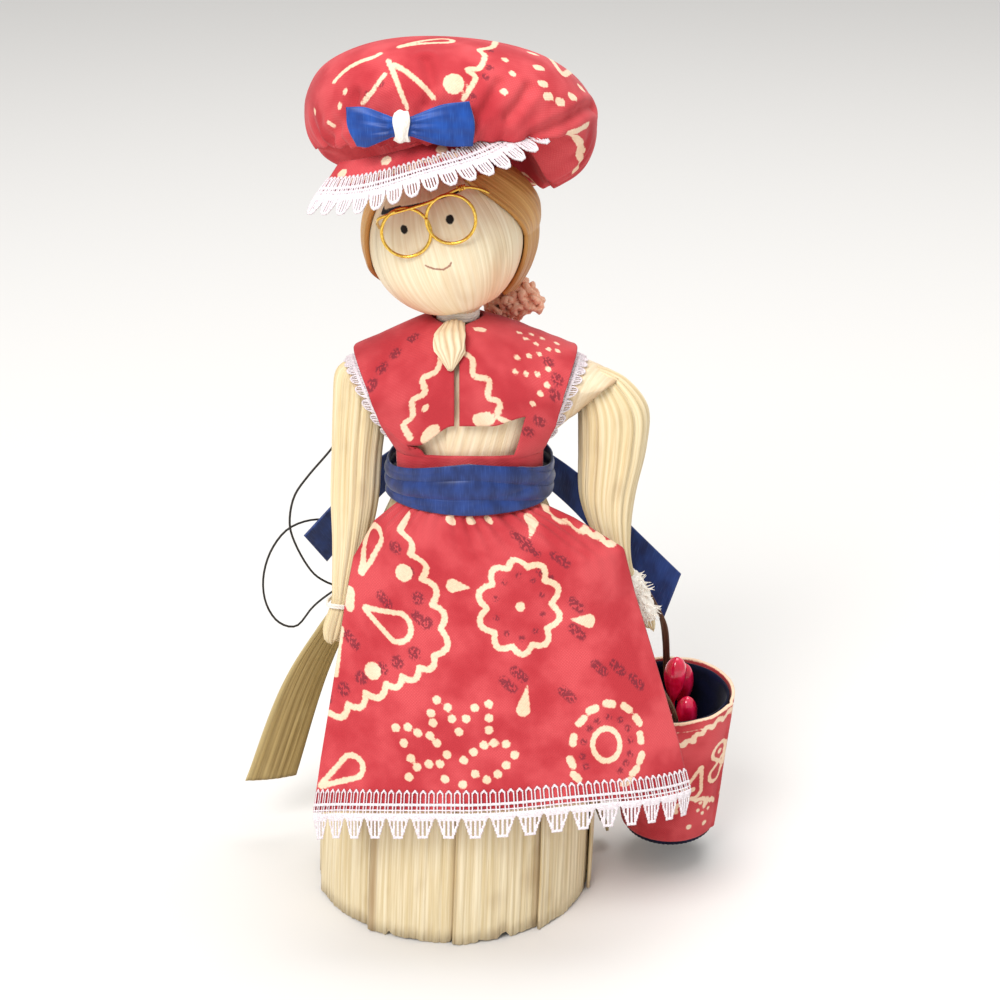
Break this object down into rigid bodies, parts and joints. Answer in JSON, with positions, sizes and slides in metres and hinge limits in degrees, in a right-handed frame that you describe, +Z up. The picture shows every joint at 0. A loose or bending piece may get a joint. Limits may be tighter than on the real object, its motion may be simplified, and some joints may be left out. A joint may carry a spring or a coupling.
{
  "type": "corn husk doll ornament",
  "caption": "Folk doll of tied corn husks in a red print hat, cape and lace-hemmed apron, with a berry basket, that stands on its skirt or hangs by a thread.",
  "frame": {"origin": "on the ground under the middle of the doll's bounding box, the hanging thread left out", "axes": "+Z up along the doll, -Y the way the doll faces, +X to the basket side, in metres"},
  "size_m": [0.0898, 0.0578, 0.1509],
  "materials": {
    "husk": "dry ribbed corn husk, dull sheen",
    "husk_pale": "smooth pale corn husk, soft sheen",
    "husk_shade": "weathered olive-tan corn husk",
    "husk_dyed_tan": "dyed corn husk strips, soft sheen",
    "yarn": "nubbly curled yarn, matte",
    "red_print_cotton": "woven cotton with a cream and dark bandana print, matte",
    "navy_cotton": "woven cotton, matte",
    "blue_satin": "satin ribbon, soft sheen",
    "white_lace": "cotton lace, matte",
    "white_string": "soft white cotton string, matte",
    "gold_wire": "thin bright wire",
    "berry_gloss": "glossy crimson",
    "brown_strip": "brown dyed husk strip, dull",
    "white_ball": "plain foam ball",
    "dark_thread": "fine thread, dull"
  },
  "bodies": {
    "root": {"apron": "red_print_cotton", "apron_lace": "white_lace", "basket_base": "navy_cotton", "basket_handle": "brown_strip", "basket_lining": "navy_cotton", "basket_wrap": "red_print_cotton", "berry_1": "berry_gloss", "berry_2": "berry_gloss", "berry_3": "berry_gloss", "berry_4": "berry_gloss", "berry_5": "berry_gloss", "berry_6": "berry_gloss", "bodice_husk_left": "husk_pale", "bodice_husk_right": "husk_pale", "brim_lace": "white_lace", "cape": "red_print_cotton", "cape_lace_left": "white_lace", "cape_lace_right": "white_lace", "hair_left": "husk_dyed_tan", "hair_right": "husk_dyed_tan", "hair_tie_yarn": "yarn", "hanging_thread": "dark_thread", "hat_bow": "blue_satin", "hat_bow_band": "white_string", "hat_brim": "red_print_cotton", "hat_crown": "red_print_cotton", "head_ball": "white_ball", "head_husk": "husk_pale", "left_arm_husk": "husk", "left_wrist_tie": "white_string", "loose_leaf_large": "husk_shade", "loose_leaf_small": "husk_shade", "neck_tie": "white_string", "right_arm_husk": "husk", "right_cuff": "white_string", "sash": "blue_satin", "sash_knot": "blue_satin", "sash_tail_left": "blue_satin", "sash_tail_right": "blue_satin", "skirt_husk_01": "husk", "skirt_husk_02": "husk", "skirt_husk_03": "husk", "skirt_husk_04": "husk", "skirt_husk_05": "husk", "skirt_husk_06": "husk", "skirt_husk_07": "husk", "skirt_husk_08": "husk", "skirt_husk_09": "husk", "skirt_husk_10": "husk", "spectacles": "gold_wire", "throat_knot": "husk_pale", "torso_husk": "husk_pale", "waist_tie": "white_string"}
  },
  "joints": []
}
